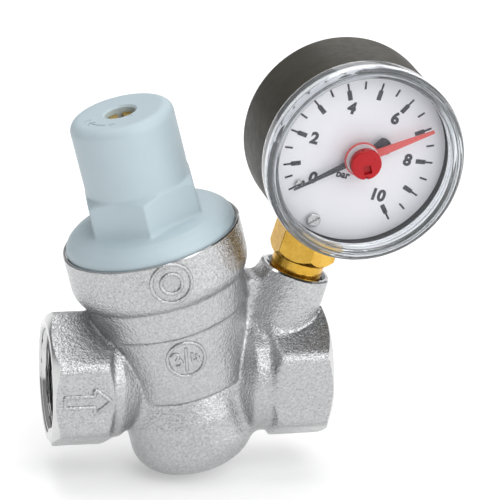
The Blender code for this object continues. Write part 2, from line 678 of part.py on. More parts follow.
def gauge_dial(gauge):
    front = DIAL_BACK + DIAL_THICKNESS
    dial = turned("gauge_dial", [(1.8, DIAL_BACK), (DIAL_RADIUS, DIAL_BACK), (DIAL_RADIUS, front),
                                 (1.8, front)], gauge, "dial_white", 40)
    for name, place, radius in (("dial_screw", DIAL_SCREW, 1.2), ("dial_rivet", DIAL_RIVET, 0.75)):
        hole = circle(radius, 12, place)
        cut(dial, prism(name + "_hole", hole, DIAL_BACK - 1, front + 1, gauge, "dial_white"))
    head = front + GAP
    profile = [(0.0, 11.0), (0.6, 11.0), (0.6, head), (1.75, head), (1.75, head + 0.5),
               (1.4, head + 0.8), (0.0, head + 0.8)]
    screw = turned_at("dial_screw", profile, DIAL_SCREW, gauge, "steel", 20)
    slot = moved(rectangle(-2.5, 2.5, -0.25, 0.25), DIAL_SCREW, 45)
    cut(screw, prism("dial_screw_slot", slot, head + 0.4, head + 2.0, gauge, "steel"))
    rivet = [(0.0, DIAL_BACK - 1.0), (0.45, DIAL_BACK - 1.0), (0.45, head), (0.95, head),
             (0.7, head + 0.5), (0.0, head + 0.5)]
    turned_at("dial_rivet", rivet, DIAL_RIVET, gauge, "steel", 12)


def bourdon_tube(gauge):
    """The flattened tube from the socket block round to its free end, with its closing cap."""
    start = -66.0
    end = atan2(TUBE_END[1], TUBE_END[0]) * 180 / pi + 360 - 4.0
    steps = 22
    angles = [start + (end - start) * i / steps for i in range(steps + 1)]
    path = [(*polar(TUBE_RADIUS, angle), 0.0) for angle in angles]
    section = oval(0.95, 2.4, 6)
    bm = bmesh.new()
    add_sweep(bm, path, section)
    tube = finished("bourdon_tube", bm, gauge, "brass")
    cap = moved(rectangle(-1.8, 1.8, -2.2, 2.6), TUBE_END, end - 360)
    join(tube, prism("tube_cap", cap, -2.0, LINK_LEVEL - GAP, gauge, "brass"))
    stud = circle(0.4, 8, TUBE_END)
    join(tube, prism("tube_stud", stud, LINK_LEVEL - 1.0, LINK_LEVEL + 1.0, gauge, "brass"))


def movement_plates(gauge):
    """The two plates, their pillars and the screws that fix them to the socket block."""
    outline = rounded([(0.0, 2.0), (-PILLAR_X, PILLAR_Y), (PILLAR_X, PILLAR_Y)], 2.4)
    holes = {"pinion": ((0.0, 0.0), 0.95), "sector": (SECTOR_PIVOT, 0.95),
             "left": ((-PILLAR_X, PILLAR_Y), 1.0), "right": ((PILLAR_X, PILLAR_Y), 1.0)}
    for name, level in (("movement_back_plate", BACK_PLATE), ("movement_front_plate", FRONT_PLATE)):
        plate = prism(name, outline, level, level + PLATE_THICKNESS, gauge, "brass")
        for hole, (place, radius) in holes.items():
            bore = circle(radius, 12, place)
            cut(plate, prism(f"{name}_{hole}", bore, level - 1, level + 2, gauge, "brass"))
    low = BACK_PLATE + PLATE_THICKNESS + GAP
    high = FRONT_PLATE - GAP
    head = FRONT_PLATE + PLATE_THICKNESS + GAP
    pillar = [(1.0, low), (1.8, low), (1.8, high), (1.0, high)]
    screw = [(0.0, -0.8), (0.6, -0.8), (0.6, head), (1.6, head), (1.6, head + 0.9),
             (0.0, head + 0.9)]
    for side, x in SIDES.items():
        turned_at(f"movement_pillar_{side}", pillar, (x, PILLAR_Y), gauge, "brass", 14)
        turned_at(f"movement_screw_{side}", screw, (x, PILLAR_Y), gauge, "steel", 14)


def hairspring(gauge):
    """A flat spiral round the pinion's arbor that takes up the play of the teeth."""
    turns = 2.5
    steps = 30
    path = []
    for i in range(steps + 1):
        share = i / steps
        path.append((*polar(1.7 + 2.9 * share, 360 * turns * share), BACK_PLATE + 1.35))
    bm = bmesh.new()
    add_sweep(bm, path, rectangle(-0.15, 0.15, -0.25, 0.25))
    finished("hairspring", bm, gauge, "steel")


def pointer(gauge):
    """The black pointer with its fan tail, and the pinion on the same arbor."""
    low = DIAL_BACK + 1.7
    high = low + 0.5
    hub = arc((0.0, 0.0), 2.6, 40, 320, 10)
    tail = [polar(8.0, 180 - 17), polar(8.0, 180 + 17)]
    left_side = [point for point in hub if point[1] > 0 and point[0] > -2.2]
    right_side = [point for point in hub if point[1] < 0 and point[0] > -2.2]
    blade = [(TICK_RADIUS - 1.0, -0.25), (TICK_RADIUS - 1.0, 0.25)]
    outline = blade + left_side + tail + right_side
    hand = prism("pointer", moved(outline, (0.0, 0.0), ZERO_ANGLE), low, high, gauge, "hand_black")
    arbor = [(0.0, BACK_PLATE - 1.0), (0.6, BACK_PLATE - 1.0), (0.6, high + 0.3), (0.0, high + 0.3)]
    join(hand, turned("pointer_arbor", arbor, gauge, "hand_black", 12))
    pinion = [(0.9, SECTOR_LEVEL - 0.3), (1.2, SECTOR_LEVEL - 0.3), (1.2, SECTOR_LEVEL + 1.3),
              (0.9, SECTOR_LEVEL + 1.3)]
    turned("pinion", pinion, gauge, "brass", 16)


def sector_gear(gauge):
    """The toothed sector on its arbor, with the arm that the link pulls."""
    toothed = arc(SECTOR_PIVOT, SECTOR_RADIUS, 32, 98, 12)
    inner = arc(SECTOR_PIVOT, SECTOR_RADIUS - 2.0, 98, 32, 8)
    web = [polar(6.0, 70, SECTOR_PIVOT), polar(1.9, 150, SECTOR_PIVOT)]
    web += arc(SECTOR_PIVOT, 1.9, 200, 340, 5) + [polar(1.9, 380, SECTOR_PIVOT), polar(6.0, 50, SECTOR_PIVOT)]
    low, high = SECTOR_LEVEL, SECTOR_LEVEL + 0.9
    gear = prism("sector_gear", toothed + inner, low, high, gauge, "brass")
    arm_end = polar(SECTOR_ARM, SECTOR_ARM_ANGLE, SECTOR_PIVOT)
    arm = rounded([SECTOR_PIVOT, arm_end], 1.2)
    join(
        gear,
        prism("sector_web", web, low, high, gauge, "brass"),
        prism("sector_arm", arm, low, high, gauge, "brass"),
        prism("sector_arbor", circle(0.6, 12, SECTOR_PIVOT), BACK_PLATE - 1.0,
              FRONT_PLATE + PLATE_THICKNESS + 0.3, gauge, "brass"),
        prism("sector_stud", circle(0.45, 10, arm_end), low + 0.3, LINK_LEVEL + 0.9, gauge, "brass"),
    )


def link_bar(gauge):
    """The link from the tube's free end to the sector's arm, slotted at the tube's end."""
    start = polar(SECTOR_ARM, SECTOR_ARM_ANGLE, SECTOR_PIVOT)
    run = (TUBE_END[0] - start[0], TUBE_END[1] - start[1])
    length = hypot(*run)
    turn = atan2(run[1], run[0]) * 180 / pi
    low, high = LINK_LEVEL, LINK_LEVEL + 0.6
    outline = moved(rounded([(0.0, 0.0), (length + 0.4, 0.0)], 1.8), start, turn)
    bar = prism("link_bar", outline, low, high, gauge, "brass")
    slot = moved(rounded([(length - 3.2, 0.0), (length, 0.0)], 1.1), start, turn)
    cut(
        bar,
        prism("link_slot", slot, low - 1, high + 1, gauge, "brass"),
        prism("link_eye", circle(0.8, 12, start), low - 1, high + 1, gauge, "brass"),
    )


def set_pointer(gauge):
    """The red setting hand behind the lens and the knob in front that turns it."""
    low = LENS_INNER - 0.9
    blade = [(0.0, -1.1), (TICK_RADIUS, -0.35), (TICK_RADIUS, 0.35), (0.0, 1.1)]
    blade = moved(blade, (0.0, 0.0), SET_ANGLE)
    hand = prism("set_hand", blade, low, low + 0.4, gauge, "hand_red")
    shaft = KNOB_HOLE_RADIUS - 0.4
    hub = [(0.0, low), (4.4, low), (4.4, low + 0.6), (shaft, low + 0.6), (shaft, WINDOW_FRONT),
           (0.0, WINDOW_FRONT)]
    join(hand, turned("set_hub", hub, gauge, "hand_red", 20))
    face = WINDOW_FRONT + GAP
    top = face + 1.8
    knob_profile = [(0.0, face), (3.7, face), (3.7, top - 0.4), (3.3, top), (0.0, top)]
    knob = turned("set_knob", knob_profile, gauge, "hand_red", 24)
    notch = moved(rectangle(-4.5, 4.5, -0.6, 0.6), (0.0, 0.0), SET_ANGLE)
    cut(knob, prism("knob_notch", notch, top - 0.8, top + 1.0, gauge, "hand_red"))


def main():
    clear_scene()
    flow = empty("flow_frame", None, (0.0, 0.0, 0.0), (0.0, 90.0, 0.0))
    bonnet = empty("bonnet_frame", None, (BONNET_X, 0.0, 0.0), (0.0, -BONNET_TILT, 0.0))
    boss = empty("boss_frame", None, (BOSS_X, 0.0, 0.0), (0.0, BOSS_TILT, 0.0))
    gauge = empty("gauge_frame", boss, (0.0, 0.0, GAUGE_HEIGHT), (90.0, 0.0, GAUGE_YAW))
    valve_body(flow, bonnet, boss)
    for build in (spring_cover, adjusting_screw, spring_follower, adjusting_spring,
                  diaphragm_stack, cartridge_cage, strainer, seat_ring, control_stem):
        build(bonnet)
    gauge_socket(boss, gauge)
    for build in (gauge_case, case_screws, gauge_lens, gauge_dial, bourdon_tube, movement_plates,
                  hairspring, pointer, sector_gear, link_bar, set_pointer):
        build(gauge)


main()
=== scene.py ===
"""Looks of a pressure reducing valve with its pressure gauge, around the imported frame.

Shapes are written in millimetres in the same working frames as the CAD part: the pipe line, the
bonnet, the gauge boss and the gauge. Each one becomes metres when it is made a piece.
"""

import json
from math import atan2, cos, hypot, pi, radians, sin, tan

import bmesh
import bpy
import numpy as np
from mathutils import Euler, Matrix, Vector, noise


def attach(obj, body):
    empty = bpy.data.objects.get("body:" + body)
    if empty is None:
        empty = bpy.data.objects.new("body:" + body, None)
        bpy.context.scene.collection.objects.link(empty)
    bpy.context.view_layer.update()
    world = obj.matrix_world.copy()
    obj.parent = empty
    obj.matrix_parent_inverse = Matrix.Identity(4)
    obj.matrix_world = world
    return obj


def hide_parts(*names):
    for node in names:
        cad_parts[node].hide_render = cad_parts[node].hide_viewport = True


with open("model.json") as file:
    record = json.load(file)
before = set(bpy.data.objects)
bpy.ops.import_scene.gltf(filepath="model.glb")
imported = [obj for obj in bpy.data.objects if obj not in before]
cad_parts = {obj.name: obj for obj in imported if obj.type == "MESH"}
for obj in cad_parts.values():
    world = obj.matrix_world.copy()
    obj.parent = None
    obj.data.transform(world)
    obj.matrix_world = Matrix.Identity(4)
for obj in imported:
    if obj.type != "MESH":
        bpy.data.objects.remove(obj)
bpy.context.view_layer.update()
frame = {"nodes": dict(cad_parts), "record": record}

MM = 0.001

# Working frames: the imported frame, the pipe line along Z, the bonnet, the boss and the gauge
ROOM = Matrix.Identity(4)
FLOW = Matrix.Rotation(radians(90), 4, "Y")
BONNET = Matrix.Translation((0.2, 0, 0)) @ Matrix.Rotation(radians(-14), 4, "Y")
BOSS = Matrix.Translation((19.4, 0, 0)) @ Matrix.Rotation(radians(17), 4, "Y")
GAUGE_TURN = Euler((radians(90), 0, radians(4.6))).to_matrix().to_4x4()
GAUGE = BOSS @ Matrix.Translation((0, 0, 64.9)) @ GAUGE_TURN

# Sizes that several pieces share, in millimetres
END = 35.3
HEX_FLATS = 32.0
BOSS_RADIUS = 8.85
WEB_HALF = 4.0
CUP_RADIUS = 22.5
RIM_TOP = 39.3
BOSS_TOP = 28.4
TOWER_TOP = 72.3
DIAL_FRONT = 15.4
TICK_RADIUS = 19.15
SIDES = {"left": -4.2, "right": 4.2}
PAST_AXIS = -40.0  # a turned outline crosses its axis, so that its field has no edge there
TINY = 1e-6


# Materials


def add_node(tree, kind, settings=None, **values):
    made = tree.nodes.new(kind)
    for key, value in (settings or {}).items():
        setattr(made, key, value)
    for key, value in values.items():
        made.inputs[key.replace("_", " ")].default_value = value
    return made


def shade(name, colours, roughness, metallic=0.0, tint=90.0, wear=400.0, bumps=(), **sockets):
    """A material whose colour, roughness and relief come from noise in the piece's own space.

    colours is a pair mixed by noise of scale tint, roughness a pair mixed by noise of scale wear,
    and bumps a list of (texture, scale, depth in millimetres)."""
    made = bpy.data.materials.new(name)
    made.use_nodes = True
    tree = made.node_tree
    shader = tree.nodes["Principled BSDF"]
    shader.inputs["Metallic"].default_value = metallic
    for key, value in sockets.items():
        shader.inputs[key.replace("_", " ")].default_value = value
    place = add_node(tree, "ShaderNodeTexCoord").outputs["Object"]

    def grain(scale, detail):
        made = add_node(tree, "ShaderNodeTexNoise", Scale=scale, Detail=detail, Roughness=0.6)
        tree.links.new(place, made.inputs["Vector"])
        return made.outputs["Fac"]

    ramp = add_node(tree, "ShaderNodeValToRGB")
    for stop, position, colour in zip(ramp.color_ramp.elements, (0.35, 0.65), colours):
        stop.position, stop.color = position, (*colour, 1.0)
    tree.links.new(grain(tint, 4.0), ramp.inputs["Fac"])
    tree.links.new(ramp.outputs["Color"], shader.inputs["Base Color"])
    gloss = add_node(tree, "ShaderNodeMapRange", From_Min=0.3, From_Max=0.7)
    gloss.inputs["To Min"].default_value, gloss.inputs["To Max"].default_value = roughness
    tree.links.new(grain(wear, 3.0), gloss.inputs["Value"])
    tree.links.new(gloss.outputs["Result"], shader.inputs["Roughness"])
    normal = None
    for texture, scale, depth in bumps:
        if texture == "cells":
            source = add_node(tree, "ShaderNodeTexVoronoi", {"feature": "SMOOTH_F1"}, Scale=scale)
            tree.links.new(place, source.inputs["Vector"])
            height = source.outputs["Distance"]
        else:
            height = grain(scale, 3.0)
        bump = add_node(tree, "ShaderNodeBump", Strength=1.0, Distance=depth * MM)
        tree.links.new(height, bump.inputs["Height"])
        if normal:
            tree.links.new(normal, bump.inputs["Normal"])
        normal = bump.outputs["Normal"]
    if normal:
        tree.links.new(normal, shader.inputs["Normal"])
    return made


FORGED = shade("forged_plating", ((0.39, 0.393, 0.398), (0.55, 0.553, 0.558)), (0.14, 0.24), 1.0,
               tint=1700, wear=900, bumps=(("noise", 1700, 0.26), ("noise", 600, 0.10)))
MACHINED = shade("machined_plating", ((0.54, 0.54, 0.54), (0.62, 0.62, 0.62)), (0.08, 0.16), 1.0,
                 tint=300, wear=1500, bumps=(("noise", 900, 0.008),))
# Painted light: the case's bore above the dial is black enamel, and this lighter grey stands in
# for the light that band shows through the clear cap.
BORE_PAINTED_LIGHT = shade("bore_painted_light", ((0.30, 0.32, 0.33), (0.36, 0.38, 0.39)), (0.3, 0.4),
              bumps=(("noise", 900, 0.01),))
COVER = shade("cover_plastic", ((0.420, 0.513, 0.552), (0.448, 0.542, 0.579)), (0.42, 0.52),
              tint=60, wear=700, bumps=(("noise", 2600, 0.010), ("noise", 160, 0.03)))
MARK = shade("cover_marks", ((0.33, 0.42, 0.46), (0.38, 0.47, 0.51)), (0.45, 0.55),
             bumps=(("noise", 2600, 0.010),))
BRASS = shade("brass", ((0.58, 0.33, 0.045), (0.72, 0.45, 0.085)), (0.20, 0.32), 1.0,
              tint=160, wear=900, bumps=(("noise", 1500, 0.012), ("noise", 300, 0.02)))
STEEL = shade("bright_steel", ((0.50, 0.50, 0.50), (0.62, 0.62, 0.62)), (0.18, 0.32), 1.0,
              tint=260, wear=1400, bumps=(("noise", 1800, 0.008),))
RUBBER = shade("black_rubber", ((0.018, 0.018, 0.018), (0.032, 0.032, 0.032)), (0.6, 0.8),
               bumps=(("noise", 1800, 0.02),))
ACETAL = shade("cage_acetal", ((0.70, 0.67, 0.57), (0.78, 0.75, 0.66)), (0.4, 0.55),
               bumps=(("noise", 1600, 0.01),))
FIBRE = shade("red_fibre", ((0.26, 0.08, 0.05), (0.36, 0.13, 0.08)), (0.7, 0.9),
              tint=900, bumps=(("noise", 1400, 0.05),))
# Partly painted light: the enamel is black, and its warm olive-brown tint stands in for a warm
# sheen on the case.
ENAMEL_AND_SHEEN = shade("black_enamel_painted_sheen", ((0.034, 0.031, 0.022), (0.048, 0.043, 0.030)), (0.40, 0.50),
             tint=60, wear=500, bumps=(("noise", 900, 0.012), ("noise", 140, 0.03)),
             Specular_IOR_Level=0.25)
WINDOW = shade("clear_window", ((0.24, 0.25, 0.29), (0.28, 0.29, 0.33)), (0.03, 0.07),
               bumps=(("noise", 90, 0.01),), Alpha=0.10, IOR=1.49)
RIM = shade("clear_rim", ((0.74, 0.77, 0.80), (0.80, 0.83, 0.86)), (0.05, 0.10),
            bumps=(("noise", 200, 0.02),), Transmission_Weight=0.93, IOR=1.46)
DIAL = shade("dial_enamel", ((0.93, 0.93, 0.97), (0.96, 0.96, 0.99)), (0.35, 0.45),
             tint=40, bumps=(("noise", 1500, 0.004),))
INK = shade("dial_ink", ((0.012, 0.012, 0.014), (0.022, 0.022, 0.024)), (0.4, 0.55),
            bumps=(("noise", 2400, 0.004),))
BLACK = shade("black_hand", ((0.016, 0.016, 0.018), (0.03, 0.03, 0.032)), (0.35, 0.5),
              bumps=(("noise", 1500, 0.006),))
# Partly painted light: the hand is red, and its lighter salmon tone stands in for the clear cap's
# reflection laid over it.
RED_AND_PAINTED_GLARE = shade("red_hand_painted_glare", ((0.72, 0.075, 0.065), (0.80, 0.10, 0.085)), (0.35, 0.5),
               bumps=(("noise", 1500, 0.006),))
RED = shade("red_knob", ((0.33, 0.003, 0.006), (0.42, 0.005, 0.010)), (0.25, 0.35),
            bumps=(("noise", 900, 0.01),), Specular_IOR_Level=0.3)
HUB = shade("knob_washer", ((0.78, 0.74, 0.76), (0.86, 0.83, 0.85)), (0.25, 0.35),
            bumps=(("noise", 900, 0.008),))
FLOOR = shade("light_table", ((0.80, 0.80, 0.80), (0.82, 0.82, 0.82)), (0.75, 0.85),
              tint=3, wear=12, bumps=(("noise", 60, 0.05),),
              Emission_Color=(1.0, 1.0, 1.0, 1.0), Emission_Strength=0.28)

BY_SLOT = {
    "plated_body": FORGED, "cover_plastic": COVER, "brass": BRASS, "steel": STEEL,
    "rubber": RUBBER, "cage_plastic": ACETAL, "fibre": FIBRE, "case_black": ENAMEL_AND_SHEEN,
    "clear": WINDOW, "dial_white": DIAL, "hand_black": BLACK, "hand_red": RED_AND_PAINTED_GLARE,
}


# Outlines


def arc(centre, radius, start, end, steps):
    angles = [radians(start + (end - start) * i / steps) for i in range(steps + 1)]
    return [(centre[0] + radius * cos(a), centre[1] + radius * sin(a)) for a in angles]


def circle(radius, segments=32, centre=(0.0, 0.0)):
    return arc(centre, radius, 0, 360, segments)[:-1]


def polar(radius, angle, centre=(0.0, 0.0)):
    return (centre[0] + radius * cos(radians(angle)), centre[1] + radius * sin(radians(angle)))


def rectangle(x_low, x_high, y_low, y_high):
    return [(x_low, y_low), (x_high, y_low), (x_high, y_high), (x_low, y_high)]


def moved(points, shift=(0.0, 0.0), turn=0.0):
    """The points turned by an angle in degrees about the origin, then shifted."""
    c, s = cos(radians(turn)), sin(radians(turn))
    return [(c * x - s * y + shift[0], s * x + c * y + shift[1]) for x, y in points]


def filleted(corners, steps=5):
    """The closed outline of corners (x, y) or (x, y, radius), rounded where there is a radius."""
    points = []
    for i, (x, y, *radius) in enumerate(corners):
        if not radius:
            points.append((x, y))
            continue
        corner = Vector((x, y))
        back = (Vector(corners[i - 1][:2]) - corner).normalized()
        ahead = (Vector(corners[(i + 1) % len(corners)][:2]) - corner).normalized()
        half = back.angle(ahead) / 2
        centre = corner + (back + ahead).normalized() * radius[0] / sin(half)
        first = corner + back * radius[0] / tan(half) - centre
        last = corner + ahead * radius[0] / tan(half) - centre
        start = atan2(first.y, first.x)
        turn = (atan2(last.y, last.x) - start + pi) % (2 * pi) - pi
        for k in range(steps + 1):
            angle = start + turn * k / steps
            points.append((centre.x + radius[0] * cos(angle), centre.y + radius[0] * sin(angle)))
    return points


def hexagon(flats, corner_radius=0.0, turn=0.0):
    """Six corners, the first at turn degrees from X."""
    reach = flats / 2 / cos(pi / 6)
    corners = [polar(reach, turn + 60 * i) for i in range(6)]
    if corner_radius:
        corners = filleted([(*corner, corner_radius) for corner in corners])
    return corners


# Working solids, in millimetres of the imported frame


def placed(name, data):
    made = bpy.data.objects.new(name, data)
    bpy.context.scene.collection.objects.link(made)
    return made


def evaluated_mesh(source):
    bpy.context.view_layer.update()
    graph = bpy.context.evaluated_depsgraph_get()
    return bpy.data.meshes.new_from_object(source.evaluated_get(graph))


def curve_mesh(curve):
    holder = placed("work", curve)
    mesh = evaluated_mesh(holder)
    bpy.data.objects.remove(holder)
    return mesh


def solid(bm, place=ROOM, material=None):
    bmesh.ops.transform(bm, matrix=place, verts=bm.verts)
    bmesh.ops.recalc_face_normals(bm, faces=bm.faces)
    mesh = bpy.data.meshes.new("work")
    bm.to_mesh(mesh)
    bm.free()
    if material:
        mesh.materials.append(material)
    return placed("work", mesh)


def lift_copy(bm, faces, height):
    """Makes the faces a solid by extruding them upwards."""
    grown = bmesh.ops.extrude_face_region(bm, geom=faces)["geom"]
    top = [item for item in grown if isinstance(item, bmesh.types.BMVert)]
    bmesh.ops.translate(bm, verts=top, vec=(0.0, 0.0, height))


def turned(profile, place, material=None, segments=96):
    """A closed profile of (radius, height) points swept about the Z axis of its frame."""
    bm = bmesh.new()
    rings = []
    for radius, height in profile:
        count = segments if radius > TINY else 1
        rings.append([
            bm.verts.new((*polar(radius, 360 * i / segments), height)) for i in range(count)
        ])
    for lower, upper in zip(rings, rings[1:] + rings[:1]):
        if len(lower) == 1 and len(upper) == 1:
            continue
        for i in range(segments):
            j = (i + 1) % segments
            corners = [lower[i % len(lower)], lower[j % len(lower)],
                       upper[j % len(upper)], upper[i % len(upper)]]
            bm.faces.new(list(dict.fromkeys(corners)))
    return solid(bm, place, material)


def turned_at(profile, centre, place, material, segments=32):
    return turned(profile, place @ Matrix.Translation((*centre, 0.0)), material, segments)


def prism(outline, low, high, place, material=None, bevel=0.0):
    """The solid between two copies of an outline, with its rims bevelled where bevel is given."""
    bm = bmesh.new()
    bottom = bm.faces.new([bm.verts.new((x, y, low)) for x, y in outline])
    lift_copy(bm, [bottom], high - low)
    bmesh.ops.recalc_face_normals(bm, faces=bm.faces)
    if bevel:
        rims = [e for e in bm.edges if abs(e.verts[0].co.z - e.verts[1].co.z) < TINY]
        bmesh.ops.bevel(bm, geom=rims, offset=bevel, segments=2, profile=0.6, affect="EDGES")
    return solid(bm, place, material)


def combined(target, operation, *tools):
    """The target after exact Boolean steps with the tools, which are used up."""
    for tool in tools:
        step = target.modifiers.new("step", "BOOLEAN")
        step.operation, step.solver, step.object = operation, "EXACT", tool
        step.material_mode = "TRANSFER"
    mesh = evaluated_mesh(target)
    target.modifiers.clear()
    target.data = mesh
    for tool in tools:
        bpy.data.objects.remove(tool)
    return target


def joined(*solids):
    """One object of several solids that don't need to be cut into each other."""
    bm = bmesh.new()
    material = solids[0].data.materials[0]
    for item in solids:
        bm.from_mesh(item.data)
        bpy.data.objects.remove(item)
    return solid(bm, ROOM, material)


def piece(name, work, body="valve", replaces=(), sharp=32):
    """Makes a working solid a piece of the object, in metres, and says what it rides on."""
    work.name = work.data.name = name
    work.data.transform(Matrix.Scale(MM, 4))
    work.data.shade_smooth()
    work.data.set_sharp_from_angle(angle=radians(sharp))
    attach(work, body)
    if replaces:
        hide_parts(*replaces)
    return work


# Formed surfaces: a coarse solid is remeshed and its points are moved onto a distance field


def inside_frame(points, place):
    back = np.array(place.inverted())
    return points @ back[:3, :3].T + back[:3, 3]


def outline_distance(x, y, outline):
    """Signed distance of the points (x, y) to a closed outline, negative inside."""
    nearest = np.full(len(x), np.inf)
    inside = np.zeros(len(x), bool)
    for (ax, ay), (bx, by) in zip(outline, outline[1:] + outline[:1]):
        ex, ey, wx, wy = bx - ax, by - ay, x - ax, y - ay
        share = np.clip((wx * ex + wy * ey) / (ex * ex + ey * ey), 0, 1)
        nearest = np.minimum(nearest, (wx - ex * share) ** 2 + (wy - ey * share) ** 2)
        if ay != by:
            inside ^= ((ay > y) != (by > y)) & (x < ex * (y - ay) / (by - ay) + ax)
    return np.where(inside, -1.0, 1.0) * np.sqrt(nearest)


def blend(a, b, width):
    """The union of two distance fields with a fillet of about this width."""
    near = np.maximum(width - np.abs(a - b), 0.0) / width
    return np.minimum(a, b) - near * near * width / 4


def overlap(a, b, width):
    """The part common to two distance fields, with its edge rounded to about this width."""
    return -blend(-a, -b, width)


def rise(values, start, length):
    """0 up to start, 1 from start + length on, and an even rise between."""
    return np.clip((values - start) / length, 0, 1)


def formed(rough, distance, voxel, ripple=()):
    """Remeshes the rough solid and puts its points on the surface where distance is zero.

    ripple is a list of (length, depth) of uneven relief laid on it."""
    rounds, reach, least_slope, most_move = 5, 0.02, 0.25, 0.6
    remesh = rough.modifiers.new("grid", "REMESH")
    remesh.mode, remesh.voxel_size = "VOXEL", voxel
    material = rough.data.materials[0]
    combined(rough, "UNION")
    rough.data.materials.clear()
    rough.data.materials.append(material)
    points = np.empty(len(rough.data.vertices) * 3)
    rough.data.vertices.foreach_get("co", points)
    points = points.reshape(-1, 3)
    for _ in range(rounds):
        here = distance(points)
        slope = np.stack([
            (distance(points + step) - distance(points - step)) / (2 * reach)
            for step in np.eye(3) * reach
        ], axis=1)
        size = np.maximum((slope ** 2).sum(axis=1), least_slope)
        points -= slope * np.clip(here / size, -most_move, most_move)[:, None]
    for scale, depth in ripple:
        heights = np.array([noise.noise(Vector(p) / scale) for p in points])
        slope /= np.sqrt(np.maximum((slope ** 2).sum(axis=1), least_slope))[:, None]
        points += slope * heights[:, None] * depth
    rough.data.vertices.foreach_set("co", points.ravel())
    rough.data.update()
    return rough


# The forged body


def turned_field(points, place, outline, centre=(0.0, 0.0)):
    """Distance to an outline turned about the Z axis through centre."""
    local = inside_frame(points, place)
    return outline_distance(np.hypot(local[:, 0] - centre[0], local[:, 1] - centre[1]),
                            local[:, 2], outline)


BONNET_OUTLINE = filleted([
    (PAST_AXIS, 42), (CUP_RADIUS, 42), (CUP_RADIUS, 30.0), (22.3, 28.6), (21.8, 27.4),
    (21.0, 26.4), (20.6, 26.0), (19.6, 18.3, 0.5), (18.9, 17.7), (16.3, -0.5, 0.5), (15.3, -1.3),
    (PAST_AXIS, -1.3),
])
BULGE_OUTLINE = [(PAST_AXIS, -0.9), (14.5, -0.9), (15.8, -8.0),
                 *arc((7.8, -15.3), 8.0, 0, -90, 10), (PAST_AXIS, -23.3)]
BULGE_SHIFT = (-2.2, 0.0)
NECK_OUTLINE = filleted([
    (PAST_AXIS, -22), (15.2, -22), (15.2, -17.8, 2.5), (10.8, -12.0, 3.0), (10.8, 11.5, 2.5),
    (15.2, 15.5, 2.0), (15.2, 22), (PAST_AXIS, 22),
])
HEX_OUTLINE = hexagon(HEX_FLATS, 3.7)
HEX_ENVELOPE = [(PAST_AXIS, 19.5), (14.5, 19.5), (19.0, 22.1), (19.0, END + 3),
                (PAST_AXIS, END + 3)]
WEB_OUTLINE = [(8.0, 8.0), (24.0, 8.0), (24.0, 24.0), *arc((16.6, 30.2), 4.2, -30, -150, 8),
               (8.0, 28.0)]


def body_field(points):
    """Distance to the forged surface. The fillet under the bonnet is widest on the outlet side
    above the pipe line, and the gauge boss's is narrowest on its outer side."""
    flow = inside_frame(points, FLOW)
    across = np.hypot(flow[:, 0], flow[:, 1])
    along = np.abs(flow[:, 2])
    neck = outline_distance(across, flow[:, 2], NECK_OUTLINE)
    hexagons = overlap(outline_distance(flow[:, 0], flow[:, 1], HEX_OUTLINE),
                       outline_distance(across, along, HEX_ENVELOPE), 0.8)
    boss = inside_frame(points, BOSS)
    boss = np.maximum(np.hypot(boss[:, 0], boss[:, 1]) - BOSS_RADIUS,
                      np.maximum(4.0 - boss[:, 2], boss[:, 2] - BOSS_TOP - 2.0))
    web = np.maximum(outline_distance(points[:, 0], points[:, 2], WEB_OUTLINE),
                     np.abs(points[:, 1]) - WEB_HALF)
    right = rise(points[:, 0], 10.0, 7.0) * rise(points[:, 2], -2.0, 8.0)
    bulge = turned_field(points, BONNET, BULGE_OUTLINE, BULGE_SHIFT)
    lower = blend(blend(neck, bulge, 2.5), hexagons, 1.0)
    total = blend(turned_field(points, BONNET, BONNET_OUTLINE), lower, 0.5 + 3.0 * right)
    outward = rise(points[:, 0], 20.0, 6.0)
    total = blend(total, boss, 2.4 - 1.8 * outward)
    return blend(total, web, 2.6)


def positive(outline):
    """The outline cut off at its axis, which a turned solid needs."""
    return [(max(x, 0.0), y) for x, y in outline]


def end_cutter(side):
    """Leaves the end ring, its turned-off corners and the socket for the thread."""
    profile = [
        (0.0, 19.0), (13.35, 19.0), (13.35, END - 0.4), (13.75, END), (15.15, END),
        (15.35, END - 0.1), (18.95, END - 2.2), (18.95, END + 6), (0.0, END + 6),
    ]
    return turned([(radius, side * x) for radius, x in profile], FLOW, MACHINED)


def passage(start, end, half_height, half_width):
    """A cutter of oval section between two points (x, z) of the middle plane."""
    run = (end[0] - start[0], end[1] - start[1])
    place = Matrix.Translation((start[0], 0, start[1])) @ Matrix.Rotation(atan2(*run), 4, "Y")
    outline = [(half_height * x, half_width * y) for x, y in circle(1.0, 40)]
    return prism(outline, 0.0, hypot(*run), place, MACHINED)


